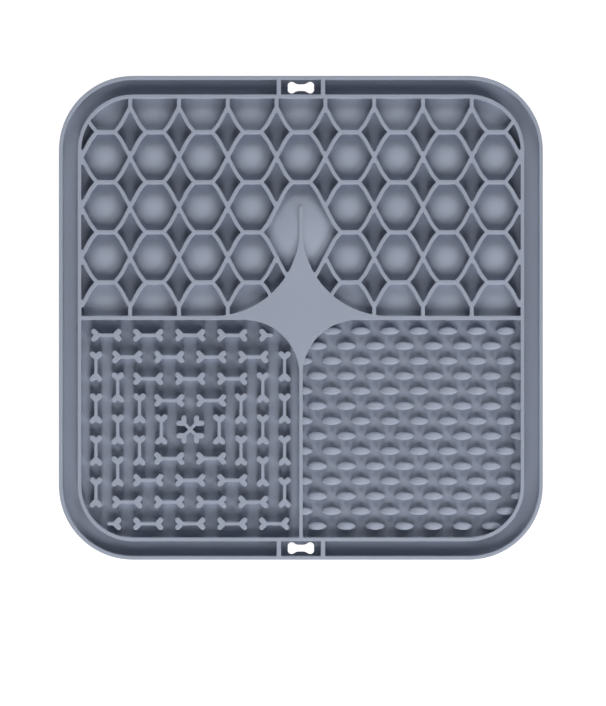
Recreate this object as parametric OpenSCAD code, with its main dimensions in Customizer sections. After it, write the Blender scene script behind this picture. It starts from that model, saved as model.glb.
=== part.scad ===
// Square silicone lick mat with four textured food zones inside a spill channel.
// X runs across the mat, Y towards its upper edge and Z up through its thickness.
// The lips of the suction cups stand on Z = 0, under the middle of the mat.
// The real mat is one moulding: each module below is one feature of it, as a closed solid
// that meets its neighbours face to face.

/* [Mat] */
// Width and length of the whole mat
mat_w = 200; // [180:1:240]
// Radius of the mat's outer corners
corner_r = 30.5; // [26:0.5:38]
// Thickness of the base sheet
sheet_t = 1.6; // [1.2:0.1:2.6]
// Height of the walls, ribs and bones above the sheet
wall_h = 5; // [4.4:0.1:7]

/* [Rims] */
// Thickness of the outer rim
outer_rim_t = 1.5; // [1.2:0.1:2.5]
// Clear width of the spill channel between the two rims
channel_w = 6.2; // [5.6:0.1:8]
// Thickness of the inner rim
inner_rim_t = 1.5; // [1.2:0.1:2.5]

/* [Hanging tabs] */
// Clear width between the two cross ribs of a tab
tab_w = 16.4; // [14:0.1:22]
// Thickness of each cross rib
tab_rib_t = 1.85; // [1.2:0.05:3]
// Length of the bone-shaped hanging slot
slot_l = 11; // [9:0.1:13]
// Width of the slot across its bone heads
slot_h = 4.9; // [4.8:0.1:5.3]
// Width of the slot's narrow middle
slot_shank_t = 2.8; // [2.2:0.1:3.2]
// Radius of the slot's four lobes
slot_lobe_r = 1.65; // [1.4:0.05:1.8]

/* [Dividers and star] */
// Thickness of the divider that crosses the mat
cross_divider_t = 1.6; // [1.2:0.1:2.6]
// Thickness of the divider between the two lower zones
lower_divider_t = 1.5; // [1.2:0.1:2.6]
// Radius of the star's two upper edges
upper_sweep_r = 35.5; // [30:0.5:38]
// Radius of the star's two lower edges
lower_sweep_r = 22.6; // [18:0.2:25]
// Thickness of the star's long upper spike
spike_t = 1.4; // [1.2:0.1:2.2]
// Distance from the mat's middle to the spike's tip
spike_reach = 46.2; // [41:0.2:49]

/* [Honeycomb] */
// Thickness of the slanting ribs
rib_t = 1.5; // [1.2:0.1:2.2]
// Thickness of the straight bars above and below each cell
bar_t = 1.6; // [1.2:0.1:2.2]
// Thickness of the short stubs that tie the honeycomb to the walls
stub_t = 1.6; // [1.2:0.1:2.2]
// Length of those stubs
stub_l = 3.6; // [3:0.1:4.6]
// Height of the domed floor in each whole cell
dome_rise = 2.4; // [1.5:0.1:3.4]
// Height of the domed floor in each cut cell
cut_dome_rise = 2; // [1.2:0.1:3]
// Height of the domed floor in the pocket around the spike
pocket_rise = 4.4; // [3:0.1:4.4]
// Reach of each domed floor past the farthest corner of its cell
dome_margin = 0.3; // [0.1:0.1:1]

/* [Bones] */
// Length of each small bone
bone_l = 12.5; // [10:0.1:13]
// Width across a bone's heads
bone_h = 5.2; // [4:0.1:5.6]
// Thickness of a bone's shank
bone_shank_t = 1.3; // [1.1:0.1:1.8]
// Radius of a bone's four lobes
lobe_r = 1.1; // [0.9:0.05:1.15]
// Depth of the notch in a bone's ends
notch_d = 1; // [0.5:0.1:1.1]
// Length of each half bone
half_bone_l = 5.8; // [5.4:0.1:6.5]
// Distance of the middle of the bones below the middle of their zone
bones_drop = 0.3; // [0:0.1:1]

/* [Oval nubs] */
// Length of each nub
nub_l = 8; // [6:0.1:9]
// Width of each nub
nub_w = 3; // [2.4:0.1:4.2]
// Height of a nub at its middle
nub_h = 3.8; // [2.6:0.1:4.2]
// Height of a nub at its two ends
nub_end_h = 2; // [1:0.1:2.4]
// Distance from the walls to the first and last rows of nubs
nub_margin = 4.6; // [4:0.1:6]

/* [Suction cups] */
// Height from the cup lips to the sheet
cup_h = 3.4; // [2.8:0.1:5]
// Diameter of a cup across its lip
cup_d = 18; // [14:0.5:24]
// Diameter of a cup's neck
neck_d = 7; // [5:0.5:9]
// Height of the neck
neck_h = 0.9; // [0.6:0.1:1.4]
// Thickness of the cup's skirt at its lip
skirt_t = 0.5; // [0.4:0.1:0.8]
// Width of the flat ring on which a cup stands
lip_w = 1; // [0.6:0.1:1.6]
// Depth of the hollow under a cup
hollow_d = 1.4; // [1:0.1:1.6]
// Distance from the mat's edge to the middle of the outer cups
cup_inset = 28; // [26:1:34]

/* [Hidden] */
$fa = 4;
$fs = 0.4;

silicone = [0.59, 0.615, 0.675];

// Sides of the large spheres that the shallow domes are cut from
dome_facets = 240;

// How far a cutting tool runs past the solid that it cuts
overrun = 1;

// Half widths of the faces of the rims, from the outside in, and the field's corner radius
half_w = mat_w / 2;
channel_out = half_w - outer_rim_t;
channel_in = channel_out - channel_w;
field = channel_in - inner_rim_t;
field_r = corner_r - (half_w - field);
floor_z = cup_h + sheet_t;

// Where the star's curved edges run out into the dividers and the spike
star_side = spike_t / 2 + upper_sweep_r;
star_top = cross_divider_t / 2 + upper_sweep_r;
star_low_side = lower_divider_t / 2 + lower_sweep_r;
star_bottom = cross_divider_t / 2 + lower_sweep_r;

// Honeycomb: columns of cells across the field, and rows of bars up the upper zone.
// The vertices where ribs cross are on the column edges, half a row above and below the bars.
columns = 9;
bar_rows = 4;
middle_column = (columns - 1) / 2;
pocket_row = 1;
col_pitch = 2 * field / columns;
row_pitch = (field - cross_divider_t / 2 - 2 * stub_l) / bar_rows;
cell_x = col_pitch / 2;
cell_y = row_pitch / 2;
first_row_y = cross_divider_t / 2 + stub_l;

// A slanting rib leaves the bar's end, bends at a knee and runs straight to its vertex
bar_half_share = 0.362;
knee_x_share = 0.61;
knee_y_share = 0.27;
bend_share = 0.24;
bend_steps = 5;
bar_half = bar_half_share * cell_x;
knee = [knee_x_share * cell_x, knee_y_share * cell_y];
start_slope = (knee.x - bar_half) / knee.y;
lean = (cell_x - knee.x) / (cell_y - knee.y);
bend_start = [bar_half + start_slope * bar_t / 2, bar_t / 2];
bend_end = knee + bend_share * ([cell_x, cell_y] - knee);

// How far up the spike the floor of the pocket is highest
pocket_crown_share = 0.8;

// Bones: rings of bones around a point near the middle of the lower left zone
rings = 4;
first_ring_share = 0.266;
ring_step_share = 0.2;
bone_pitch_share = 0.3855;
bone_flare_share = 0.45;
lobe_steps = 8;
zone_x = (field + lower_divider_t / 2) / 2;
zone_y = (field + cross_divider_t / 2) / 2 + bones_drop;
zone_half = (field - lower_divider_t / 2) / 2;
bone_pitch = bone_pitch_share * zone_half;

// Nubs: staggered columns that start on the divider and end on the rim
nub_columns = 16;
nub_rows = 14;
nub_sides = 20;
nub_pitch_x = (field - lower_divider_t / 2) / (nub_columns - 1);
nub_pitch_y = (field - cross_divider_t / 2 - 2 * nub_margin) / (nub_rows - 1);

// Hanging slots: where the flare starts, and how deep the notch is between two lobes that
// overlap, as a share of the depth at which they cross
slot_flare_share = 0.31;
slot_notch_share = 0.75;
slot_lobe_y = slot_h / 2 - slot_lobe_r;
slot_notch_d = slot_notch_share
    * (slot_lobe_r - sqrt(slot_lobe_r * slot_lobe_r - slot_lobe_y * slot_lobe_y));

// Suction cups in a square grid
cups_each_way = 5;
cup_pitch = (mat_w - 2 * cup_inset) / (cups_each_way - 1);

function flip(list) = [for (i = [len(list) - 1:-1:0]) list[i]];
function vertex_at(j, m) = [(j - columns / 2) * col_pitch, first_row_y + m * row_pitch];
function bar_at(c, b) = vertex_at(c, b) + [cell_x, cell_y];
function has_bar(c, b) = c >= 0 && c < columns && b >= 0 && b < bar_rows
    && !(c == middle_column && b == pocket_row);

// Middle line of a slanting rib from its bar to its vertex: [x, y, slope] from the bar's middle
function bend(t) = (1 - t) * (1 - t) * bend_start + 2 * t * (1 - t) * knee + t * t * bend_end;
function bend_way(t) = (1 - t) * (knee - bend_start) + t * (bend_end - knee);
rib_line = concat(
    [[bar_half, 0, start_slope]],
    [for (i = [0:bend_steps])
        let (p = bend(i / bend_steps), d = bend_way(i / bend_steps)) [p.x, p.y, d.x / d.y]],
    [[cell_x, cell_y, lean]]
);

// The same line from the vertex, down to the lower left bar and up to the upper right one
low_line = [for (p = rib_line) [p.x - cell_x, p.y - cell_y, p[2]]];
high_line = [for (p = flip(low_line)) [-p.x, -p.y, p[2]]];
whole_line = concat(low_line, [for (i = [1:len(high_line) - 1]) high_line[i]]);

// One side of a rib of thickness rib_t that follows such a line
function half_across(slope) = rib_t / 2 * sqrt(1 + slope * slope);
function side(line, s) = [for (p = line) [p.x + s * half_across(p[2]), p.y]];
knot = half_across(lean) / lean;
whole_rib = concat(side(whole_line, -1), flip(side(whole_line, 1)));
low_rib = concat(side(low_line, -1), flip(side(low_line, 1)));
pointed_rib = concat(side(low_line, -1), [[0, knot]], flip(side(low_line, 1)));
butted_rib = concat(
    side(low_line, -1), [[0, -knot]],
    [for (i = [len(low_line) - 2:-1:0]) side(low_line, 1)[i]]
);

// Outline of a whole cell from its middle, and of a cell cut by a wall above it
cell_side = [for (i = [1:len(rib_line) - 1])
    [rib_line[i].x - half_across(rib_line[i][2]), rib_line[i].y - cell_y]];
cell_side_up = [for (p = flip(cell_side)) [p.x, -p.y]];
cell_right = concat(cell_side, [for (i = [1:len(cell_side_up) - 1]) cell_side_up[i]]);
cell_outline = concat(cell_right, [for (p = flip(cell_right)) [-p.x, p.y]]);
cut_cell_right = concat(cell_side, [[cell_x - stub_t / 2, 0], [cell_x - stub_t / 2, stub_l]]);
cut_cell_outline = concat(cut_cell_right, [for (p = flip(cut_cell_right)) [-p.x, p.y]]);

// Left edge of the pocket: down one rib from the bar above it, then in along the next to the star
pocket_upper = [for (i = [len(whole_line) - 2:-1:0])
    side(whole_line, 1)[i] + vertex_at(middle_column, pocket_row + 1)];
pocket_lower = [for (i = [len(whole_line) - 2:-1:0])
    [-side(whole_line, -1)[i].x, side(whole_line, -1)[i].y] + vertex_at(middle_column, pocket_row)];
pocket_left = concat(pocket_upper, pocket_lower);
pocket_outline = concat(pocket_left, [for (p = flip(pocket_left)) [-p.x, p.y]]);

// Right end of a bone from its middle: shank, flare, lobe, notch, and the same again below
function bone_end(l, h, t, r, notch, flare_share) =
    let (
        lobe = [l / 2 - r, h / 2 - r],
        flare = [flare_share * l / 2, t / 2],
        tip = [l / 2 - notch, 0],
        a = atan2(lobe.y - flare.y, lobe.x - flare.x) + asin(r / norm(lobe - flare)) + 90,
        b = atan2(lobe.y - tip.y, lobe.x - tip.x) - asin(r / norm(lobe - tip)) - 90,
        upper = concat([flare],
            [for (i = [0:lobe_steps])
                let (angle = a + (b - a) * i / lobe_steps) lobe + r * [cos(angle), sin(angle)]])
    )
    concat(upper, [tip], [for (p = flip(upper)) [p.x, -p.y]]);
function bone(end) = concat(end, [for (p = end) -p]);
small_bone_end = bone_end(bone_l, bone_h, bone_shank_t, lobe_r, notch_d, bone_flare_share);
slot_end = bone_end(slot_l, slot_h, slot_shank_t, slot_lobe_r, slot_notch_d, slot_flare_share);
function ring(i) = (first_ring_share + i * ring_step_share) * zone_half;
function along(k, count) = (k - (count - 1) / 2) * bone_pitch;

// Oval outline of a nub
nub_outline = [for (i = [0:nub_sides - 1])
    let (angle = 360 * i / nub_sides) [nub_l / 2 * cos(angle), nub_w / 2 * sin(angle)]];

// Whether a point of the lower right zone is clear of the divider, the star and the rim
function in_sweep(p, centre, r, way) =
    way * (p.x - centre.x) > 0 || way * (p.y - centre.y) < 0 || norm(p - centre) < r;
function is_clear(p) =
    p.x > lower_divider_t / 2 && p.x < field && p.y < -cross_divider_t / 2 && p.y > -field
    && in_sweep(p, [star_low_side, -star_bottom], lower_sweep_r, 1)
    && in_sweep(p, [field - field_r, field_r - field], field_r, -1);
function nub_at(n, r) = [
    lower_divider_t / 2 + n * nub_pitch_x,
    -cross_divider_t / 2 - nub_margin - r * nub_pitch_y
];
function clear_points(p) =
    [for (d = [[nub_l, 0], [-nub_l, 0], [0, nub_w], [0, -nub_w]]) if (is_clear(p + d / 2)) d];
function nub_is_whole(p) = len(clear_points(p)) == 4;
function nub_shows(p) = len(clear_points(p)) > 0;

// Radius of a sphere whose cap has this rise over this base radius
function cap_r(base, rise) = (base * base + rise * rise) / (2 * rise);

// Plan of a square with round corners, from its half width
module rounded_square(half, r) {
    square([2 * half, 2 * (half - r)], center = true);
    square([2 * (half - r), 2 * half], center = true);
    for (sx = [-1, 1], sy = [-1, 1])
        translate([sx * (half - r), sy * (half - r)])
            circle(r);
}

// A wall or rib of full height on the sheet, from its plan
module wall() {
    color(silicone)
        translate([0, 0, floor_z])
            linear_extrude(wall_h)
                children();
}

// Plan of the tab at the upper edge, from the inner rim out to the mat's edge
module tab_plan() {
    translate([-tab_w / 2 - tab_rib_t, channel_in])
        square([tab_w + 2 * tab_rib_t, half_w - channel_in]);
}

module hanging_tab() {
    color(silicone)
        translate([0, 0, cup_h])
            linear_extrude(sheet_t)
                difference() {
                    tab_plan();
                    translate([0, (channel_in + channel_out) / 2])
                        polygon(bone(slot_end));
                }
}

module tab_ribs() {
    wall()
        for (s = [-1, 1])
            translate([s * (tab_w + tab_rib_t) / 2 - tab_rib_t / 2, channel_in])
                square([tab_rib_t, channel_w]);
}

module base_sheet() {
    color(silicone)
        translate([0, 0, cup_h])
            linear_extrude(sheet_t)
                difference() {
                    rounded_square(half_w, corner_r);
                    tab_notch();
                    rotate(180)
                        tab_notch();
                }
}

module tab_notch() {
    translate([-tab_w / 2 - tab_rib_t, channel_in])
        square([tab_w + 2 * tab_rib_t, half_w - channel_in + overrun]);
}

module top_hanging_tab() {
    hanging_tab();
}

module bottom_hanging_tab() {
    rotate(180)
        hanging_tab();
}

module outer_rim() {
    wall()
        difference() {
            rounded_square(half_w, corner_r);
            rounded_square(channel_out, corner_r - outer_rim_t);
        }
}

module inner_rim() {
    wall()
        difference() {
            rounded_square(channel_in, field_r + inner_rim_t);
            rounded_square(field, field_r);
        }
}

module top_tab_ribs() {
    tab_ribs();
}

module bottom_tab_ribs() {
    rotate(180)
        tab_ribs();
}

module left_divider() {
    wall()
        translate([-field, -cross_divider_t / 2])
            square([field - star_side, cross_divider_t]);
}

module right_divider() {
    wall()
        translate([star_side, -cross_divider_t / 2])
            square([field - star_side, cross_divider_t]);
}

module lower_divider() {
    wall()
        translate([-lower_divider_t / 2, -field])
            square([lower_divider_t, field - star_bottom]);
}

// Plan of the four-pointed star: two wide sweeps above the divider, two tighter ones below it
module star_plan() {
    difference() {
        translate([-star_side, -star_bottom])
            square([2 * star_side, star_bottom + star_top]);
        for (s = [-1, 1]) {
            translate([s * star_side, star_top])
                circle(upper_sweep_r);
            translate([s * star_low_side, -star_bottom])
                circle(lower_sweep_r);
        }
        for (s = [0, 1])
            mirror([s, 0])
                translate([star_low_side, -star_bottom - overrun])
                    square([star_side - star_low_side + overrun, lower_sweep_r + overrun]);
    }
    translate([-spike_t / 2, 0])
        square([spike_t, spike_reach - spike_t / 2]);
    translate([0, spike_reach - spike_t / 2])
        circle(spike_t / 2);
}

module centre_star() {
    wall()
        star_plan();
}

// Plan of what lies in the upper zone, clear of the rim, the divider and the star
module in_upper_zone() {
    difference() {
        intersection() {
            children();
            rounded_square(field, field_r);
            translate([-field, cross_divider_t / 2])
                square([2 * field, field]);
        }
        star_plan();
    }
}

module honeycomb_bars() {
    inner = bar_half - half_across(start_slope);
    outer = bend_start.x - half_across(start_slope);
    wall()
        in_upper_zone()
            for (c = [0:columns - 1], b = [0:bar_rows - 1])
                if (has_bar(c, b))
                    translate(bar_at(c, b))
                        polygon([
                            [-inner, 0], [-outer, bar_t / 2], [outer, bar_t / 2],
                            [inner, 0], [outer, -bar_t / 2], [-outer, -bar_t / 2]
                        ]);
}

// Ribs that rise to the right: whole across a vertex, or one half where the other has no bar
module honeycomb_rising_ribs() {
    wall()
        in_upper_zone()
            for (j = [0:columns], m = [0:bar_rows]) {
                low = has_bar(j - 1, m - 1);
                high = has_bar(j, m);
                inside = m > 0 && m < bar_rows;
                translate(vertex_at(j, m)) {
                    if (low && high)
                        polygon(whole_rib);
                    if (low && !high)
                        polygon(inside ? pointed_rib : low_rib);
                    if (high && !low)
                        rotate(180)
                            polygon(inside ? pointed_rib : low_rib);
                }
            }
}

// Ribs that fall to the right, in halves that butt against the rising rib at each vertex
module honeycomb_falling_ribs() {
    wall()
        in_upper_zone()
            for (j = [0:columns], m = [0:bar_rows])
                translate(vertex_at(j, m)) {
                    if (has_bar(j, m - 1))
                        mirror([1, 0])
                            polygon(butted_rib);
                    if (has_bar(j - 1, m))
                        mirror([0, 1])
                            polygon(butted_rib);
                }
}

module honeycomb_stubs() {
    wall()
        in_upper_zone()
            for (j = [1:columns - 1]) {
                translate(vertex_at(j, bar_rows) + [-stub_t / 2, 0])
                    square([stub_t, stub_l]);
                translate(vertex_at(j, 0) + [-stub_t / 2, -stub_l])
                    square([stub_t, stub_l]);
            }
}

// A cap of a sphere over a plan, with its crown at the origin of the plan
module dome(base, rise) {
    intersection() {
        linear_extrude(rise)
            children();
        translate([0, 0, rise - cap_r(base, rise)])
            sphere(cap_r(base, rise), $fn = dome_facets);
    }
}

module cell_domes() {
    base = norm(cell_side[0]) + dome_margin;
    color(silicone)
        for (c = [0:columns - 1], m = [1:bar_rows - 1])
            if (has_bar(c, m) && has_bar(c, m - 1))
                translate([bar_at(c, m).x, vertex_at(c, m).y, floor_z])
                    dome(base, dome_rise)
                        polygon(cell_outline);
}

// The cells that the upper rim or the divider cuts short; the star cuts two of them again
module cut_cell_dome(x, edge_y, up) {
    low = cell_side[0].y;
    middle = (low + stub_l) / 2;
    base = norm([cell_x, stub_l - middle]) + dome_margin;
    at = [x, edge_y + up * middle];
    translate(at)
        dome(base, cut_dome_rise)
            translate(-at)
                in_upper_zone()
                    translate([x, edge_y])
                        mirror([0, up > 0 ? 0 : 1])
                            polygon(cut_cell_outline);
}

module cut_cell_domes() {
    color(silicone)
        translate([0, 0, floor_z])
            for (c = [0:columns - 1]) {
                cut_cell_dome(bar_at(c, 0).x, vertex_at(c, bar_rows).y, 1);
                if (c != middle_column)
                    cut_cell_dome(bar_at(c, 0).x, vertex_at(c, 0).y, -1);
            }
}

// The long pocket around the spike, whose domed floor falls to the bar and to both low corners
module pocket_dome() {
    crown_y = pocket_crown_share * spike_reach;
    base = norm(pocket_upper[0] - [0, crown_y]) + dome_margin;
    color(silicone)
        translate([0, 0, floor_z])
            difference() {
                translate([0, crown_y])
                    dome(base, pocket_rise)
                        translate([0, -crown_y])
                            polygon(pocket_outline);
                translate([0, 0, -overrun])
                    linear_extrude(wall_h + 2 * overrun)
                        star_plan();
            }
}

module bones_across() {
    wall()
        translate([-zone_x, -zone_y])
            for (i = [0:rings - 1], s = [-1, 1], k = [0:i + 1])
                if (i < rings - 1 || k != (s > 0 ? i + 1 : 0))
                    translate([along(k, i + 2), s * ring(i)])
                        polygon(bone(small_bone_end));
}

module bones_upright() {
    wall()
        translate([-zone_x, -zone_y])
            for (i = [0:rings - 1], s = [-1, 1], k = [0:i])
                translate([s * ring(i), along(k, i + 1)])
                    rotate(90)
                        polygon(bone(small_bone_end));
}

module crossed_bones() {
    wall()
        translate([-zone_x, -zone_y])
            for (angle = [45, 135])
                rotate(angle)
                    polygon(bone(small_bone_end));
}

// The two bones of the outer ring that the star and the rounded corner leave room for half of
module half_bones() {
    round_x = (bone_l + bone_shank_t) / 2 - half_bone_l;
    stub = [for (i = [0:lobe_steps])
        let (angle = 270 - 180 * i / lobe_steps)
            [round_x, 0] + bone_shank_t / 2 * [cos(angle), sin(angle)]];
    outline = concat(small_bone_end, stub);
    wall()
        translate([-zone_x, -zone_y])
            for (s = [-1, 1])
                translate([s * along(rings, rings + 1), s * ring(rings - 1)])
                    rotate(s > 0 ? 180 : 0)
                        polygon(outline);
}

// Plan of the lower right zone, clear of the rim, both dividers and the star
module lower_right_zone() {
    difference() {
        intersection() {
            rounded_square(field, field_r);
            translate([lower_divider_t / 2, -field])
                square([field, field - cross_divider_t / 2]);
        }
        star_plan();
    }
}

// A nub: oval in plan, under a round top that falls towards its two ends
module nub(at) {
    top_r = cap_r(nub_l / 2, nub_h - nub_end_h);
    translate(at)
        intersection() {
            linear_extrude(nub_h)
                if (nub_is_whole(at))
                    polygon(nub_outline);
                else
                    intersection() {
                        polygon(nub_outline);
                        translate(-at)
                            lower_right_zone();
                    }
            translate([0, 0, nub_h - top_r])
                sphere(top_r);
        }
}

module oval_nubs() {
    color(silicone)
        translate([0, 0, floor_z])
            for (r = [0:nub_rows - 1], n = [r % 2:2:nub_columns - 1])
                if (nub_shows(nub_at(n, r)))
                    nub(nub_at(n, r));
}

// A cup: flat lip, thin skirt over a shallow hollow, and a neck up to the sheet
module suction_cup() {
    rotate_extrude()
        polygon([
            [0, hollow_d], [cup_d / 2 - lip_w, 0], [cup_d / 2, 0], [cup_d / 2, skirt_t],
            [neck_d / 2, cup_h - neck_h], [neck_d / 2, cup_h], [0, cup_h]
        ]);
}

module suction_cups() {
    reach = half_w - cup_inset;
    color(silicone)
        for (i = [0:cups_each_way - 1], k = [0:cups_each_way - 1])
            translate([i * cup_pitch - reach, k * cup_pitch - reach])
                suction_cup();
}

base_sheet();
top_hanging_tab();
bottom_hanging_tab();
outer_rim();
inner_rim();
top_tab_ribs();
bottom_tab_ribs();
left_divider();
right_divider();
lower_divider();
centre_star();
honeycomb_bars();
honeycomb_rising_ribs();
honeycomb_falling_ribs();
honeycomb_stubs();
cell_domes();
cut_cell_domes();
pocket_dome();
bones_across();
bones_upright();
crossed_bones();
half_bones();
oval_nubs();
suction_cups();
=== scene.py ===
"""The looks of a square silicone lick mat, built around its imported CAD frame.

The mat is one soft moulding, so every wall has a rounded top and a fillet at its foot. Each piece
here is made of closed shells that follow the plan of the CAD nodes that it stands for.
Lengths are in millimetres until a mesh is made, and then in metres.
"""

import math

import bpy
import numpy as np
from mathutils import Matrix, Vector
from mathutils.geometry import delaunay_2d_cdt


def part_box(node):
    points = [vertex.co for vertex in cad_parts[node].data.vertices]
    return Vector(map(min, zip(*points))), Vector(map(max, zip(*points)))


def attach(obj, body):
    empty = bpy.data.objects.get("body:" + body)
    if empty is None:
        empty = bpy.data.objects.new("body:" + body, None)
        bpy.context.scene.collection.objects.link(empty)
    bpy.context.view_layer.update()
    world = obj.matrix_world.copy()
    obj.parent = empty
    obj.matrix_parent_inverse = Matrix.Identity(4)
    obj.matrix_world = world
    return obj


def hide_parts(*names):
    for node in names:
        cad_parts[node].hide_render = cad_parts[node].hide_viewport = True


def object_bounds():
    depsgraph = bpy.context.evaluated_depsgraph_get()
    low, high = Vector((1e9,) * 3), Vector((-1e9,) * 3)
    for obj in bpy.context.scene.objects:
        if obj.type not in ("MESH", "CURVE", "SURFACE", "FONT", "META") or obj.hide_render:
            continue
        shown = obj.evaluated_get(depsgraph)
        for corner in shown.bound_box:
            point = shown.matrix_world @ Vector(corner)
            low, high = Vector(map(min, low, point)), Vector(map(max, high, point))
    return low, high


MM = 0.001
BODY = "root"

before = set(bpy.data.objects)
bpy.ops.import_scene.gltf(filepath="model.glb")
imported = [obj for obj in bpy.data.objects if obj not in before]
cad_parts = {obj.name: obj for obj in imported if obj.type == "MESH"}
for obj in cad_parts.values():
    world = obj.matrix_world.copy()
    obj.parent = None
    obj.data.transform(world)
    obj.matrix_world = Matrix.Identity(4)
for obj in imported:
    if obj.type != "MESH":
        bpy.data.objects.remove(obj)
cad_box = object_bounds()

# Heights, read from the frame
SHEET_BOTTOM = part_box("base_sheet")[0].z / MM
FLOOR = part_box("base_sheet")[1].z / MM
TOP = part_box("outer_rim")[1].z / MM

SHEET_NODES = ["base_sheet", "top_hanging_tab", "bottom_hanging_tab"]
WALL_NODES = [
    "outer_rim", "inner_rim", "top_tab_ribs", "bottom_tab_ribs", "left_divider",
    "right_divider", "lower_divider", "centre_star", "honeycomb_bars",
    "honeycomb_rising_ribs", "honeycomb_falling_ribs", "honeycomb_stubs",
]
DOME_NODES = ["cell_domes", "cut_cell_domes", "pocket_dome"]
BONE_NODES = ["bones_across", "bones_upright", "crossed_bones", "half_bones"]

# Rounding of the moulding, seen from the side: each round or fillet has ARC_STEPS steps, and a
# fillet starts FOOT_LIFT above the surface that it runs out on
TOP_ROUND = 0.22
FOOT_FILLET = 0.15
EDGE_ROUND = 0.5
SLOT_ROUND = 0.2
ARC_STEPS = 3
FOOT_LIFT = 0.004

# Rounding of the moulding, seen from above
INNER_CORNER_R = 0.45
OUTER_CORNER_R = 0.3
NOTCH_R = 0.15
BEND_R = 60
LEAST_CORNER_R = 0.04

# Nubs: the round of the top, the fillet of the foot, the sizes of the rings between the round and
# the middle, and how far the end of a nub at a wall goes into it
NUB_ROUND = 0.45
NUB_FILLET = 0.15
NUB_RING_SHARES = (0.66, 0.33)
WALL_SINK = 0.7

# Suction cups, as the frame's cups are, with a rounder hollow and a flare at the neck
CUP_HOLLOW = 1.4
CUP_BEND_SHARES = (0.6, 0.55)
CUP_LIP_W = 1.0
CUP_SKIRT_T = 0.5
CUP_NECK_R = 3.5
CUP_NECK_H = 0.9
CUP_FLARE = 0.4
CUP_SIDES = 48

# A point that turns less than the first stays as it is, one that turns more than the second is
# a real corner, and an inner corner that turns more than the third is a narrow wedge
SMOOTH_TURN = math.radians(3)
CORNER_TURN = math.radians(42)
WEDGE_TURN = math.radians(118)

# A wedge ends in an edge this wide, which is looked for in steps from the corner
WEDGE_W = 0.7
WEDGE_STEP = WEDGE_W / 20

# A rounded corner has a point for each STEP_TURN. It takes up to ROOM_SHARED of an edge whose other
# end is rounded too, or ROOM_ALONE. LEAST_MITRE keeps a very sharp corner from moving too far
STEP_TURN = math.radians(18)
ROOM_SHARED, ROOM_ALONE = 0.48, 0.9
LEAST_MITRE = 0.15

# Faces that meet at more than this shade as a sharp edge
SHARP_ANGLE = math.radians(50)

# Points nearer than WELD are one, heights within LEVEL_TOL are the same, edges up to SHORT_EDGE and
# loops up to LEAST_AREA are dropped, and a bend within CORNER_EDGE of a corner belongs to it
WELD = 0.001
WELD_DECIMALS = 3
LEVEL_TOL = 0.002
SHORT_EDGE = 0.02
CORNER_EDGE = 0.7
LEAST_AREA = 0.05

# Domes: the longest edge around one, the grid of points over it, and the height from which points
# surely lie on its sphere
DOME_EDGE = 1.2
DOME_GRID = 1.3
DOME_CLEAR = 0.02


# Plans of the CAD nodes

def welded(node):
    """The points of a CAD node in millimetres, each once, and its triangles."""
    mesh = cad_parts[node].data
    points = np.array([v.co for v in mesh.vertices], float) / MM
    kept, index = np.unique(np.round(points, WELD_DECIMALS), axis=0, return_inverse=True)
    index = index.ravel()
    triangles = [tuple(int(index[i]) for i in p.vertices) for p in mesh.polygons]
    return kept, [t for t in triangles if len(set(t)) == 3]


def solids(node):
    """The triangles of each separate solid of a CAD node, with the node's points."""
    points, triangles = welded(node)
    parent = list(range(len(points)))

    def root(i):
        while parent[i] != i:
            parent[i] = parent[parent[i]]
            i = parent[i]
        return i

    for a, b, c in triangles:
        parent[root(a)] = root(b)
        parent[root(b)] = root(c)
    groups = {}
    for t in triangles:
        groups.setdefault(root(t[0]), []).append(t)
    return [(points, group) for group in groups.values()]


def level_plan(points, triangles, z):
    """The plan of the triangles that lie flat at height z, each with its corners anticlockwise."""
    flat = []
    for t in triangles:
        corners = points[list(t)]
        if np.all(np.abs(corners[:, 2] - z) < LEVEL_TOL):
            (ax, ay), (bx, by), (cx, cy) = corners[:, :2]
            turn = (bx - ax) * (cy - ay) - (by - ay) * (cx - ax)
            if abs(turn) > WELD * WELD:
                flat.append(corners[:, :2] if turn > 0 else corners[::-1, :2])
    return flat


def node_plan(nodes, z):
    """The plan at height z of several CAD nodes together."""
    return [t for node in nodes for t in level_plan(*welded(node), z)]


def triangulate(points, edges, faces):
    """A constrained triangulation of plan points, with where each edge and triangle came from."""
    made = delaunay_2d_cdt([Vector(p) for p in points], edges, faces, 0, WELD)
    verts, made_edges, triangles, vert_from, edge_from, face_from = made
    fixed = {frozenset(e) for e, source in zip(made_edges, edge_from) if source}
    return np.array([list(v) for v in verts]), fixed, triangles, vert_from, face_from


def outlines(triangles):
    """Closed outlines of the union of plan triangles, with the solid on their left."""
    points = np.concatenate(triangles)
    faces = [(3 * i, 3 * i + 1, 3 * i + 2) for i in range(len(triangles))]
    verts, _, made, _, face_from = triangulate(points, [], faces)
    sides = set()
    for t, source in zip(made, face_from):
        if source:
            sides.update(zip(t, t[1:] + t[:1]))
    ways = {}
    for a, b in sorted(sides):
        if (b, a) not in sides:
            ways.setdefault(a, []).append(b)
    loops = []
    while ways:
        loop = [min(ways)]
        while True:
            here = loop[-1]
            options = ways[here]
            pick = min(options, key=lambda b: left_turn(verts, loop, b))
            options.remove(pick)
            if not options:
                del ways[here]
            if pick == loop[0]:
                break
            loop.append(pick)
        loops.append(verts[loop])
    return [tidy_loop(loop) for loop in loops if abs(signed_area(loop)) > LEAST_AREA]


def left_turn(verts, loop, b):
    """How far left a loop turns if it goes on to point b."""
    if len(loop) < 2:
        return 0.0
    back, on = verts[loop[-1]] - verts[loop[-2]], verts[b] - verts[loop[-1]]
    return math.atan2(back[0] * on[1] - back[1] * on[0], back @ on)


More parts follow.
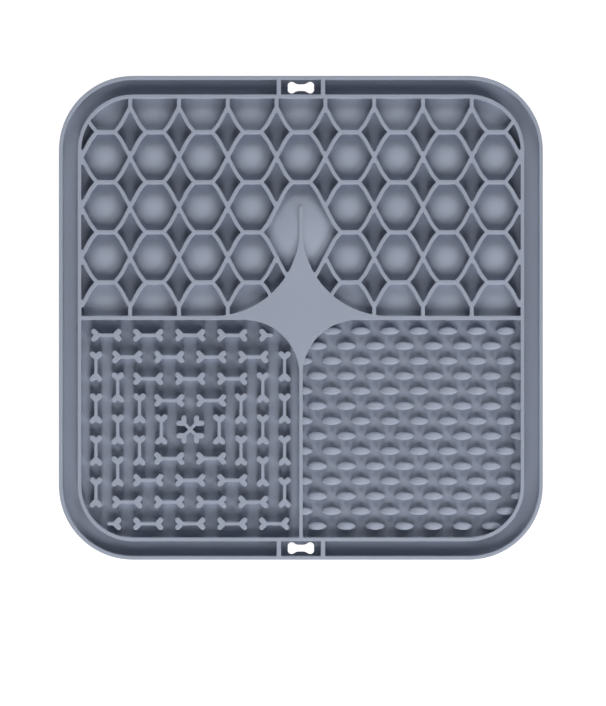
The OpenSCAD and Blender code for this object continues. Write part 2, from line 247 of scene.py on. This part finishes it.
def tidy_loop(loop):
    """A loop without double points, points on a straight line or bends right beside a corner."""
    loop = loop[np.linalg.norm(loop - np.roll(loop, 1, 0), axis=1) > SHORT_EDGE]
    while len(loop) > 3:
        before, after = np.roll(loop, 1, 0), np.roll(loop, -1, 0)
        chord, step = after - before, loop - before
        off = np.abs(chord[:, 0] * step[:, 1] - chord[:, 1] * step[:, 0])
        spare = off < 2 * WELD * np.linalg.norm(chord, axis=1)
        turn, length = np.abs(turns(loop)), np.linalg.norm(after - loop, axis=1)
        corner = turn > CORNER_TURN
        beside = corner & (length < CORNER_EDGE)
        near = np.roll(beside, 1) | (np.roll(corner, -1) & (length < CORNER_EDGE))
        spare |= near & (turn < STEP_TURN)
        if not spare.any():
            break
        loop = np.delete(loop, np.flatnonzero(spare)[0], 0)
    return loop


def turns(loop):
    """How far left the loop turns at each of its points."""
    way_in = loop - np.roll(loop, 1, 0)
    way_out = np.roll(way_in, -1, 0)
    cross = way_in[:, 0] * way_out[:, 1] - way_in[:, 1] * way_out[:, 0]
    return np.arctan2(cross, np.sum(way_in * way_out, axis=1))


def wedge_ends(loop, corner):
    """The first places back and on from a corner that lie WEDGE_W apart, each with the number of
    whole edges before it."""
    n = len(loop)
    paths = [[loop[(corner + way * k) % n] for k in range(n // 2)] for way in (-1, 1)]
    reach = 0.0
    while True:
        reach += WEDGE_STEP
        ends = [along_path(path, reach) for path in paths]
        if np.linalg.norm(ends[0][1] - ends[1][1]) >= WEDGE_W:
            return ends


def along_path(path, distance):
    """How many whole edges of a path a distance covers, and the place where it ends."""
    for k, (a, b) in enumerate(zip(path, path[1:])):
        step = np.linalg.norm(b - a)
        if distance < step:
            return k, a + (b - a) * distance / step
        distance -= step
    return len(path) - 1, path[-1]


def blunt(loop):
    """A loop whose narrow wedges between two walls end in a short edge."""
    while True:
        sharp = np.flatnonzero(turns(loop) < -WEDGE_TURN)
        if not len(sharp):
            return loop
        corner = int(sharp[0])
        (back, start), (on, end) = wedge_ends(loop, corner)
        n = len(loop)
        dropped = {(corner + k) % n for k in range(-back, on + 1)}
        order = [(corner + on + 1 + k) % n for k in range(n)]
        kept = [loop[i] for i in order if i not in dropped]
        loop = np.array(kept + [start, end])


def split_edges(loop, longest):
    """A loop with points added so that no edge is longer than this."""
    points = []
    for a, b in zip(loop, np.roll(loop, -1, 0)):
        parts = max(1, math.ceil(np.linalg.norm(b - a) / longest))
        points.extend(a + (b - a) * k / parts for k in range(parts))
    return np.array(points)


def signed_area(loop):
    """The area of a loop, negative if it runs clockwise."""
    after = np.roll(loop, -1, 0)
    return float(np.sum(loop[:, 0] * after[:, 1] - after[:, 0] * loop[:, 1]) / 2)


def holds(loop, points):
    """Which of these points lie inside the loop."""
    x, y = points[:, :1], points[:, 1:2]
    after = np.roll(loop, -1, 0)
    crosses = (loop[:, 1] > y) != (after[:, 1] > y)
    rise = after[:, 1] - loop[:, 1]
    share = (y - loop[:, 1]) / np.where(rise == 0, WELD, rise)
    left_of = x < loop[:, 0] + share * (after[:, 0] - loop[:, 0])
    return np.sum(crosses & left_of, axis=1) % 2 == 1


def nearest_on(loop, points):
    """The place on the loop that is nearest to each point."""
    along = np.roll(loop, -1, 0) - loop
    offset = points[:, None, :] - loop
    share = np.sum(offset * along, axis=2) / np.sum(along * along, axis=1)
    places = loop + np.clip(share, 0, 1)[:, :, None] * along
    best = np.linalg.norm(points[:, None, :] - places, axis=2).argmin(1)
    return places[np.arange(len(points)), best]


def gap_to(loop, points):
    """The distance from each point to the loop."""
    return np.linalg.norm(points - nearest_on(loop, points), axis=1)


def kept_in(loop, points):
    """The points, with those outside the loop moved to the nearest place on it."""
    return np.where(holds(loop, points)[:, None], points, nearest_on(loop, points))


def unit(v):
    """Each vector at length one."""
    return v / np.maximum(np.linalg.norm(v, axis=1, keepdims=True), WELD * WELD)


class Outline:
    """A plan outline that moves sideways and keeps as many points in its rounded corners."""

    def __init__(self, loop, inner_r=INNER_CORNER_R):
        self.loop = loop
        self.way_in = unit(loop - np.roll(loop, 1, 0))
        self.way_out = np.roll(self.way_in, -1, 0)
        self.turn = turns(loop)
        size, dot = np.abs(self.turn), np.cos(self.turn)
        self.radius = np.where(self.turn < 0, inner_r, OUTER_CORNER_R)
        self.radius = np.where(size < CORNER_TURN, BEND_R, self.radius)
        self.steps = np.where(size < SMOOTH_TURN, 0, np.ceil(size / STEP_TURN)).astype(int)
        left = (self.way_in + self.way_out) @ np.array([[0.0, 1.0], [-1.0, 0.0]])
        self.mitre = left / np.maximum(1 + dot, LEAST_MITRE)[:, None]

    def ring(self, inset):
        """The outline moved to its left by inset, which is into the solid."""
        moved = self.loop + inset * self.mitre
        length = np.linalg.norm(np.roll(moved, -1, 0) - moved, axis=1)
        share = np.where(self.steps > 0, ROOM_SHARED, ROOM_ALONE)
        points = []
        for i, corner in enumerate(moved):
            if self.steps[i] == 0:
                points.append(corner)
                continue
            after = (i + 1) % len(moved)
            room = min(length[i - 1] * share[i - 1], length[i] * share[after])
            radius = self.radius[i] - math.copysign(inset, self.turn[i])
            cut = min(max(radius, LEAST_CORNER_R) * math.tan(abs(self.turn[i]) / 2), room)
            start, end = corner - cut * self.way_in[i], corner + cut * self.way_out[i]
            for k in range(self.steps[i] + 1):
                t = k / self.steps[i]
                points.append((1 - t) ** 2 * start + 2 * t * (1 - t) * corner + t * t * end)
        return np.array(points)


# Heights of the domed surfaces

def fit_sphere(points):
    """The centre and radius of the sphere that points lie on."""
    rows = np.column_stack([2 * points, np.ones(len(points))])
    x = np.linalg.lstsq(rows, np.sum(points * points, axis=1), rcond=None)[0]
    return x[:3], math.sqrt(x[3] + x[:3] @ x[:3])


def cap_height(centre, radius):
    """A function that gives the height of a sphere's upper side, or of the sheet where it is lower."""
    def height(plan):
        across = np.sum((plan - centre[:2]) ** 2, axis=1)
        return np.maximum(centre[2] + np.sqrt(np.maximum(radius * radius - across, 0)), FLOOR)
    return height


def level(z):
    """A function that gives the same height everywhere."""
    return lambda plan: np.full(len(plan), float(z))


def level_floor(plan):
    """The height of the flat sheet."""
    return np.full(len(plan), FLOOR)


def domed_solids(node):
    """The footprint, top height and middle of each domed solid in a CAD node."""
    found = []
    for points, triangles in solids(node):
        used = points[sorted({i for t in triangles for i in t})]
        footprint = outlines(level_plan(points, triangles, FLOOR))[0]
        footprint = split_edges(footprint, DOME_EDGE)
        centre, radius = fit_sphere(used[used[:, 2] > FLOOR + DOME_CLEAR])
        found.append((footprint, cap_height(centre, radius), centre[:2]))
    return found


# Shells

class Shell:
    """The points and faces of a piece, gathered ring by ring."""

    def __init__(self):
        self.points, self.faces = [], []

    def add(self, plan, z):
        """Adds points over a plan, at one height or at one each, and returns their numbers."""
        first = len(self.points)
        heights = np.broadcast_to(z, len(plan))
        self.points.extend((float(p[0]), float(p[1]), float(h)) for p, h in zip(plan, heights))
        return np.arange(first, len(self.points))

    def band(self, low, high):
        """Quads between two rings of as many points, facing right of the way they run."""
        quads = zip(low, np.roll(low, -1), np.roll(high, -1), high)
        self.faces.extend(tuple(int(i) for i in q) for q in quads)

    def stack(self, rings):
        """Bands between rings that follow each other."""
        for low, high in zip(rings, rings[1:]):
            self.band(low, high)

    def cover(self, rings, height, up=True, extra=None):
        """Fills rings of points with triangles, over extra plan points inside them."""
        numbers = np.concatenate(rings)
        edges, first = [], 0
        for ring in rings:
            edges.extend((first + k, first + (k + 1) % len(ring)) for k in range(len(ring)))
            first += len(ring)
        if extra is not None and len(extra):
            numbers = np.concatenate([numbers, self.add(extra, height(extra))])
        plan = [self.points[i][:2] for i in numbers]
        verts, fixed, triangles, vert_from, _ = triangulate(plan, edges, [])
        lookup = []
        for v, source in zip(verts, vert_from):
            if source:
                lookup.append(int(numbers[source[0]]))
            else:
                lookup.append(int(self.add(v[None], height(v[None]))[0]))
        for t in inside(triangles, fixed):
            corners = tuple(lookup[i] for i in t)
            if len(set(corners)) == 3:
                self.faces.append(corners if up else corners[::-1])

    def tip(self, ring, point, z):
        """Triangles from a ring up to one point."""
        top = int(self.add(np.array([point]), z)[0])
        self.faces.extend((int(a), int(b), top) for a, b in zip(ring, np.roll(ring, -1)))


def inside(triangles, fixed):
    """The triangles with an odd number of fixed edges between them and the outside."""
    beside = {}
    for n, t in enumerate(triangles):
        for a, b in zip(t, t[1:] + t[:1]):
            beside.setdefault(frozenset((a, b)), []).append(n)
    depth, waiting = {}, []
    for edge, owners in beside.items():
        if len(owners) == 1 and owners[0] not in depth:
            depth[owners[0]] = int(edge in fixed)
            waiting.append(owners[0])
    while waiting:
        n = waiting.pop()
        t = triangles[n]
        for a, b in zip(t, t[1:] + t[:1]):
            edge = frozenset((a, b))
            for other in beside[edge]:
                if other not in depth:
                    depth[other] = depth[n] + int(edge in fixed)
                    waiting.append(other)
    return [t for n, t in enumerate(triangles) if depth.get(n, 0) % 2]


def make_piece(name, shell, material, nodes):
    """Makes a Blender object from a shell, riding on the mat in place of the CAD nodes."""
    mesh = bpy.data.meshes.new(name)
    mesh.from_pydata([[c * MM for c in p] for p in shell.points], [], shell.faces)
    mesh.validate()
    mesh.polygons.foreach_set("use_smooth", [True] * len(mesh.polygons))
    mesh.set_sharp_from_angle(angle=SHARP_ANGLE)
    mesh.materials.append(material)
    piece = bpy.data.objects.new(name, mesh)
    bpy.context.scene.collection.objects.link(piece)
    weighted = piece.modifiers.new("even_shading", "WEIGHTED_NORMAL")
    weighted.keep_sharp = True
    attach(piece, BODY)
    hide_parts(*nodes)


def foot_steps(fillet):
    """Inset and height above the floor of each ring of a fillet, from the floor up."""
    angles = [math.pi / 2 * k / ARC_STEPS for k in range(ARC_STEPS + 1)]
    return [(fillet * (math.sin(a) - 1), fillet * (1 - math.cos(a))) for a in angles]


def top_steps(radius):
    """Inset and height below the top of each ring of a rounded edge, from the wall up."""
    angles = [math.pi / 2 * k / ARC_STEPS for k in range(ARC_STEPS + 1)]
    return [(radius * (1 - math.cos(a)), radius * (math.sin(a) - 1)) for a in angles]


def add_walls(shell, loops, floor_of, inner_r=INNER_CORNER_R):
    """Walls of full height over plan loops: fillet at the foot, round edge and flat top.
    floor_of gives the height function of the floor along a loop, or None for a side of the mat."""
    bottoms, tops = [], []
    for loop in loops:
        floor_height = floor_of(loop)
        if floor_height not in (None, level_floor):
            loop = split_edges(loop, DOME_EDGE)
        outline = Outline(loop, inner_r)
        rings = []
        if floor_height is None:
            rings.append(shell.add(outline.ring(0), FLOOR))
        else:
            foot = outline.ring(-FOOT_FILLET)
            if np.any(floor_height(foot) > FLOOR + FOOT_LIFT):
                rings.append(shell.add(foot, FLOOR))
            for inset, rise in foot_steps(FOOT_FILLET):
                plan = outline.ring(inset)
                rings.append(shell.add(plan, floor_height(plan) + rise + FOOT_LIFT))
        for inset, drop in top_steps(TOP_ROUND):
            rings.append(shell.add(outline.ring(inset), TOP + drop))
        shell.stack(rings)
        bottoms.append(rings[0])
        tops.append(rings[-1])
    shell.cover(tops, level(TOP))
    shell.cover(bottoms, level(FLOOR), up=False)


def wall_network(loops, material):
    """Rims, dividers, star and honeycomb ribs, which run into each other as one wall."""
    edge = max(loops, key=signed_area)
    domes = [d for node in DOME_NODES for d in domed_solids(node)]
    middles = np.array([inner_point(footprint) for footprint, _, _ in domes])

    def floor_of(loop):
        """The dome that a hole in the network holds, or else the flat sheet."""
        if loop is edge:
            return None
        if signed_area(loop) < 0:
            found = np.flatnonzero(holds(loop, middles))
            if len(found) == 1:
                return domes[found[0]][1]
        return level_floor

    shell = Shell()
    add_walls(shell, loops, floor_of)
    make_piece("rim_rib_and_star_walls", shell, material, WALL_NODES)


def inner_point(loop):
    """A point well inside a loop: the one of a grid over it that is farthest from its edge."""
    grid = grid_inside(loop, DOME_GRID, 0)
    return grid[np.argmax(gap_to(loop, grid))]


def grid_inside(loop, step, margin):
    """Points of a square grid inside a loop, at least margin from its edge."""
    low, high = loop.min(0), loop.max(0)
    xs = np.arange(low[0] + step / 2, high[0], step)
    ys = np.arange(low[1] + step / 2, high[1], step)
    grid = np.array([(x, y) for x in xs for y in ys])
    grid = grid[holds(loop, grid)]
    return grid[gap_to(loop, grid) > margin]


def cell_domes(name, node, material):
    """Domed floors, as closed caps whose edges lie under the fillets of the walls."""
    shell = Shell()
    for footprint, height, _ in domed_solids(node):
        low = shell.add(footprint, FLOOR)
        high = shell.add(footprint, height(footprint))
        shell.band(low, high)
        shell.cover([high], height, extra=grid_inside(footprint, DOME_GRID, DOME_GRID / 2))
        shell.cover([low], level(FLOOR), up=False)
    make_piece(name, shell, material, [node])


def bones(name, node, material):
    """Small bones that stand on the sheet."""
    shell = Shell()
    for points, triangles in solids(node):
        loops = outlines(level_plan(points, triangles, TOP))
        add_walls(shell, loops, lambda loop: level_floor, NOTCH_R)
    make_piece(name, shell, material, [node])


def nubs(wall_loops, material):
    """Oval nubs with steep sides and a soft round top. All have the shape of the largest, and
    one at a wall ends inside the wall."""
    shell = Shell()
    found = domed_solids("oval_nubs")
    whole, _, middle = max(found, key=lambda nub: signed_area(nub[0]))
    outline = Outline(whole - middle)
    foot = [(outline.ring(inset), FLOOR + FOOT_LIFT + rise) for inset, rise in foot_steps(NUB_FILLET)]
    crown = [(outline.ring(inset), drop) for inset, drop in top_steps(NUB_ROUND)]
    crown += [(share * crown[-1][0], 0) for share in NUB_RING_SHARES]
    holes = [loop for loop in wall_loops if signed_area(loop) < 0]
    zone = next(loop for loop in holes if holds(loop, middle[None])[0])
    border = Outline(zone).ring(WALL_SINK)
    for _, height, middle in found:
        rings = [shell.add(kept_in(border, middle + plan), z) for plan, z in foot]
        for plan, drop in crown:
            placed = kept_in(border, middle + plan)
            rings.append(shell.add(placed, height(placed) + drop))
        shell.stack(rings)
        top = kept_in(border, middle[None])
        shell.tip(rings[-1], top[0], height(top)[0])
        shell.cover([rings[0]], level(FLOOR + FOOT_LIFT), up=False)
    make_piece("oval_nubs_soft", shell, material, ["oval_nubs"])


def base_sheet(material):
    """The sheet under everything, round at its lower edge and at its two hanging slots."""
    shell = Shell()
    bottoms, tops = [], []
    for loop in outlines(node_plan(SHEET_NODES, FLOOR)):
        outline = Outline(loop)
        is_edge = signed_area(loop) > 0
        radius = EDGE_ROUND if is_edge else SLOT_ROUND
        rings = []
        for inset, rise in reversed(top_steps(radius)):
            rings.append(shell.add(outline.ring(inset), SHEET_BOTTOM - rise))
        if is_edge:
            rings.append(shell.add(outline.ring(0), FLOOR))
        else:
            for inset, drop in top_steps(radius):
                rings.append(shell.add(outline.ring(inset), FLOOR + drop))
        shell.stack(rings)
        bottoms.append(rings[0])
        tops.append(rings[-1])
    shell.cover(tops, level(FLOOR))
    shell.cover(bottoms, level(SHEET_BOTTOM), up=False)
    make_piece("sheet_and_hanging_tabs", shell, material, SHEET_NODES)


def cup_profile(lip_r):
    """The outline of a cup as radius and height, from the hollow by way of the lip to the neck,
    without the points near its axis."""
    hollow_r = lip_r - CUP_LIP_W
    bend_r, bend_z = CUP_BEND_SHARES[0] * hollow_r, CUP_BEND_SHARES[1] * CUP_HOLLOW
    loop = np.array([
        (0, CUP_HOLLOW), (bend_r, bend_z), (hollow_r, 0), (lip_r, 0), (lip_r, CUP_SKIRT_T),
        (CUP_NECK_R, SHEET_BOTTOM - CUP_NECK_H), (CUP_NECK_R, SHEET_BOTTOM - CUP_FLARE),
        (CUP_NECK_R + CUP_FLARE, SHEET_BOTTOM + WELD), (0, SHEET_BOTTOM + WELD),
    ])
    return [p for p in Outline(loop).ring(0) if p[0] > CUP_FLARE]


def suction_cups(material):
    """Round cups under the sheet: a soft lip, a thin skirt over a hollow, and a neck."""
    shell = Shell()
    angles = np.arange(CUP_SIDES) * 2 * math.pi / CUP_SIDES
    circle = np.stack([np.cos(angles), np.sin(angles)], 1)
    for points, triangles in solids("suction_cups"):
        used = points[sorted({i for t in triangles for i in t})]
        low, high = used.min(0), used.max(0)
        middle, lip_r = ((low + high) / 2)[:2], (high - low)[0] / 2
        rings = [shell.add(middle + r * circle, z) for r, z in cup_profile(lip_r)]
        shell.stack(rings)
        shell.tip(rings[0][::-1], middle, CUP_HOLLOW)
        shell.tip(rings[-1], middle, SHEET_BOTTOM + WELD)
    make_piece("suction_cups_soft", shell, material, ["suction_cups"])


# Materials

SILICONE_LINEAR = (0.306, 0.337, 0.413)
SILICONE_IOR = 1.41
SPECULAR_LEVEL = 0.2

# Clouds, specks and satin patches in the silicone: how large they are and what range they span
CLOUD_SIZE, CLOUD_DETAIL, CLOUD_RANGE = 24, 3, (0.975, 1.025)
SPECK_SIZE, SPECK_DETAIL, SPECK_RANGE = 0.5, 2, (0.985, 1.015)
SATIN_SIZE, SATIN_DETAIL, SATIN_RANGE = 6, 3, (0.5, 0.6)

# The grain of its surface
GRAIN_SIZE, GRAIN_DETAIL = 0.3, 2
GRAIN_DEPTH = 0.02
GRAIN_STRENGTH = 0.25

# A noise texture's value mostly lies in this range
NOISE_LOW, NOISE_HIGH = 0.3, 0.7


def noise(tree, coords, size_mm, detail):
    """A noise texture whose features are about size_mm across."""
    node = tree.nodes.new("ShaderNodeTexNoise")
    node.inputs["Scale"].default_value = 1 / (size_mm * MM)
    node.inputs["Detail"].default_value = detail
    tree.links.new(coords.outputs["Object"], node.inputs["Vector"])
    return node.outputs["Fac"]


def span(tree, value, ends):
    """A noise value brought to the range between two ends."""
    node = tree.nodes.new("ShaderNodeMapRange")
    node.inputs["From Min"].default_value = NOISE_LOW
    node.inputs["From Max"].default_value = NOISE_HIGH
    node.inputs["To Min"].default_value = ends[0]
    node.inputs["To Max"].default_value = ends[1]
    tree.links.new(value, node.inputs["Value"])
    return node.outputs["Result"]


def times(tree, a, b):
    """The product of two values."""
    node = tree.nodes.new("ShaderNodeMath")
    node.operation = "MULTIPLY"
    tree.links.new(a, node.inputs[0])
    tree.links.new(b, node.inputs[1])
    return node.outputs["Value"]


def silicone():
    """Matte moulded silicone: faint clouding, fine grain and a soft satin surface."""
    material = bpy.data.materials.new("silicone")
    material.use_nodes = True
    tree = material.node_tree
    shader = tree.nodes["Principled BSDF"]
    coords = tree.nodes.new("ShaderNodeTexCoord")
    cloud = span(tree, noise(tree, coords, CLOUD_SIZE, CLOUD_DETAIL), CLOUD_RANGE)
    speck = span(tree, noise(tree, coords, SPECK_SIZE, SPECK_DETAIL), SPECK_RANGE)
    tint = tree.nodes.new("ShaderNodeVectorMath")
    tint.operation = "SCALE"
    tint.inputs[0].default_value = SILICONE_LINEAR
    tree.links.new(times(tree, cloud, speck), tint.inputs["Scale"])
    tree.links.new(tint.outputs["Vector"], shader.inputs["Base Color"])
    satin = span(tree, noise(tree, coords, SATIN_SIZE, SATIN_DETAIL), SATIN_RANGE)
    tree.links.new(satin, shader.inputs["Roughness"])
    bump = tree.nodes.new("ShaderNodeBump")
    bump.inputs["Strength"].default_value = GRAIN_STRENGTH
    bump.inputs["Distance"].default_value = GRAIN_DEPTH * MM
    tree.links.new(noise(tree, coords, GRAIN_SIZE, GRAIN_DETAIL), bump.inputs["Height"])
    tree.links.new(bump.outputs["Normal"], shader.inputs["Normal"])
    shader.inputs["IOR"].default_value = SILICONE_IOR
    shader.inputs["Specular IOR Level"].default_value = SPECULAR_LEVEL
    return material


# The stage: a white floor, soft lamps and a camera straight above

# The picture, with the middle of the mat in pixels from its top left corner
FRAME_PX = (606, 706)
MAT_MIDDLE_PX = (300.9, 317.8)
PX_PER_MM = 2.42

# The camera, in metres above the mat
CAMERA_HEIGHT = 2.0
SENSOR_MM = 36.0

# The floor: its gap below the cups in millimetres, half its side in metres, its grey in the light
# of the lamps, and its own glow, which only the camera and the glosses see
FLOOR_GAP = 0.05
FLOOR_HALF = 2.0
PAPER_SHADE = 0.25
PAPER_GLOW = 0.94

# The light of the surround on the mat
WORLD_STRENGTH = 0.03

# Each lamp: where it stands, as azimuth clockwise from +Y and elevation, and its power in watts.
# All stand as far away and have the same side, in metres
LAMP_DISTANCE = 1.5
LAMP_SIZE = 0.5
LAMPS = {
    "north": (0, 25, 9),
    "north_east": (45, 25, 5),
    "south_east": (135, 25, 12),
    "south": (180, 25, 10),
    "south_high": (180, 50, 5),
    "south_west": (225, 25, 5.5),
    "north_west": (315, 25, 2),
}


def white_floor():
    """A white floor that keeps a faint shadow of the mat."""
    z = cad_box[0].z - FLOOR_GAP * MM
    signs = ((-1, -1), (1, -1), (1, 1), (-1, 1))
    corners = [(sx * FLOOR_HALF, sy * FLOOR_HALF, z) for sx, sy in signs]
    mesh = bpy.data.meshes.new("floor")
    mesh.from_pydata(corners, [], [(0, 1, 2, 3)])
    floor = bpy.data.objects.new("floor", mesh)
    bpy.context.scene.collection.objects.link(floor)
    material = bpy.data.materials.new("white_paper")
    material.use_nodes = True
    tree = material.node_tree
    tree.nodes.clear()
    paper = tree.nodes.new("ShaderNodeBsdfDiffuse")
    paper.inputs["Color"].default_value = (PAPER_SHADE, PAPER_SHADE, PAPER_SHADE, 1)
    glow = tree.nodes.new("ShaderNodeEmission")
    seen = camera_or_gloss(tree)
    strength = tree.nodes.new("ShaderNodeMath")
    strength.operation = "MULTIPLY"
    strength.inputs[1].default_value = PAPER_GLOW
    tree.links.new(seen, strength.inputs[0])
    tree.links.new(strength.outputs[0], glow.inputs["Strength"])
    both = tree.nodes.new("ShaderNodeAddShader")
    tree.links.new(paper.outputs[0], both.inputs[0])
    tree.links.new(glow.outputs[0], both.inputs[1])
    out = tree.nodes.new("ShaderNodeOutputMaterial")
    tree.links.new(both.outputs[0], out.inputs["Surface"])
    mesh.materials.append(material)


def camera_or_gloss(tree):
    """One for rays from the camera, and for glossy and transmitted ones, otherwise nothing."""
    path = tree.nodes.new("ShaderNodeLightPath")
    value = path.outputs["Is Camera Ray"]
    for name in ("Is Glossy Ray", "Is Transmission Ray"):
        either = tree.nodes.new("ShaderNodeMath")
        either.operation = "MAXIMUM"
        tree.links.new(value, either.inputs[0])
        tree.links.new(path.outputs[name], either.inputs[1])
        value = either.outputs[0]
    return value


def studio_world():
    """An even pale surround that looks white to the camera."""
    world = bpy.data.worlds.new("studio")
    bpy.context.scene.world = world
    world.use_nodes = True
    tree = world.node_tree
    background = tree.nodes["Background"]
    strength = tree.nodes.new("ShaderNodeMapRange")
    strength.inputs["To Min"].default_value = WORLD_STRENGTH
    strength.inputs["To Max"].default_value = 1.0
    tree.links.new(camera_or_gloss(tree), strength.inputs["Value"])
    background.inputs["Color"].default_value = (1, 1, 1, 1)
    tree.links.new(strength.outputs["Result"], background.inputs["Strength"])


def soft_lamp(name, azimuth, elevation, watts):
    """A square lamp that faces the middle of the mat."""
    data = bpy.data.lights.new(name, "AREA")
    data.size = LAMP_SIZE
    data.energy = watts
    lamp = bpy.data.objects.new(name, data)
    a, e = math.radians(azimuth), math.radians(elevation)
    way = Vector((math.sin(a) * math.cos(e), math.cos(a) * math.cos(e), math.sin(e)))
    lamp.location = LAMP_DISTANCE * way
    lamp.rotation_euler = way.to_track_quat("Z", "Y").to_euler()
    bpy.context.scene.collection.objects.link(lamp)


def overhead_camera():
    """A long lens straight above, with the mat where the picture has it."""
    width, height = FRAME_PX
    data = bpy.data.cameras.new("overhead")
    data.sensor_width = SENSOR_MM
    data.lens = SENSOR_MM * CAMERA_HEIGHT / (height / PX_PER_MM * MM)
    camera = bpy.data.objects.new("overhead", data)
    x = (width / 2 - MAT_MIDDLE_PX[0]) / PX_PER_MM
    y = (MAT_MIDDLE_PX[1] - height / 2) / PX_PER_MM
    camera.location = (x * MM, y * MM, CAMERA_HEIGHT + TOP * MM)
    bpy.context.scene.collection.objects.link(camera)
    bpy.context.scene.camera = camera


def build():
    """Everything in the scene."""
    material = silicone()
    wall_loops = [blunt(loop) for loop in outlines(node_plan(WALL_NODES, TOP))]
    base_sheet(material)
    wall_network(wall_loops, material)
    for node in DOME_NODES:
        cell_domes(node + "_soft", node, material)
    for node in BONE_NODES:
        bones(node + "_soft", node, material)
    nubs(wall_loops, material)
    suction_cups(material)
    white_floor()
    studio_world()
    for name, (azimuth, elevation, watts) in LAMPS.items():
        soft_lamp(name, azimuth, elevation, watts)
    overhead_camera()
    bpy.context.scene.view_settings.view_transform = "Standard"


build()
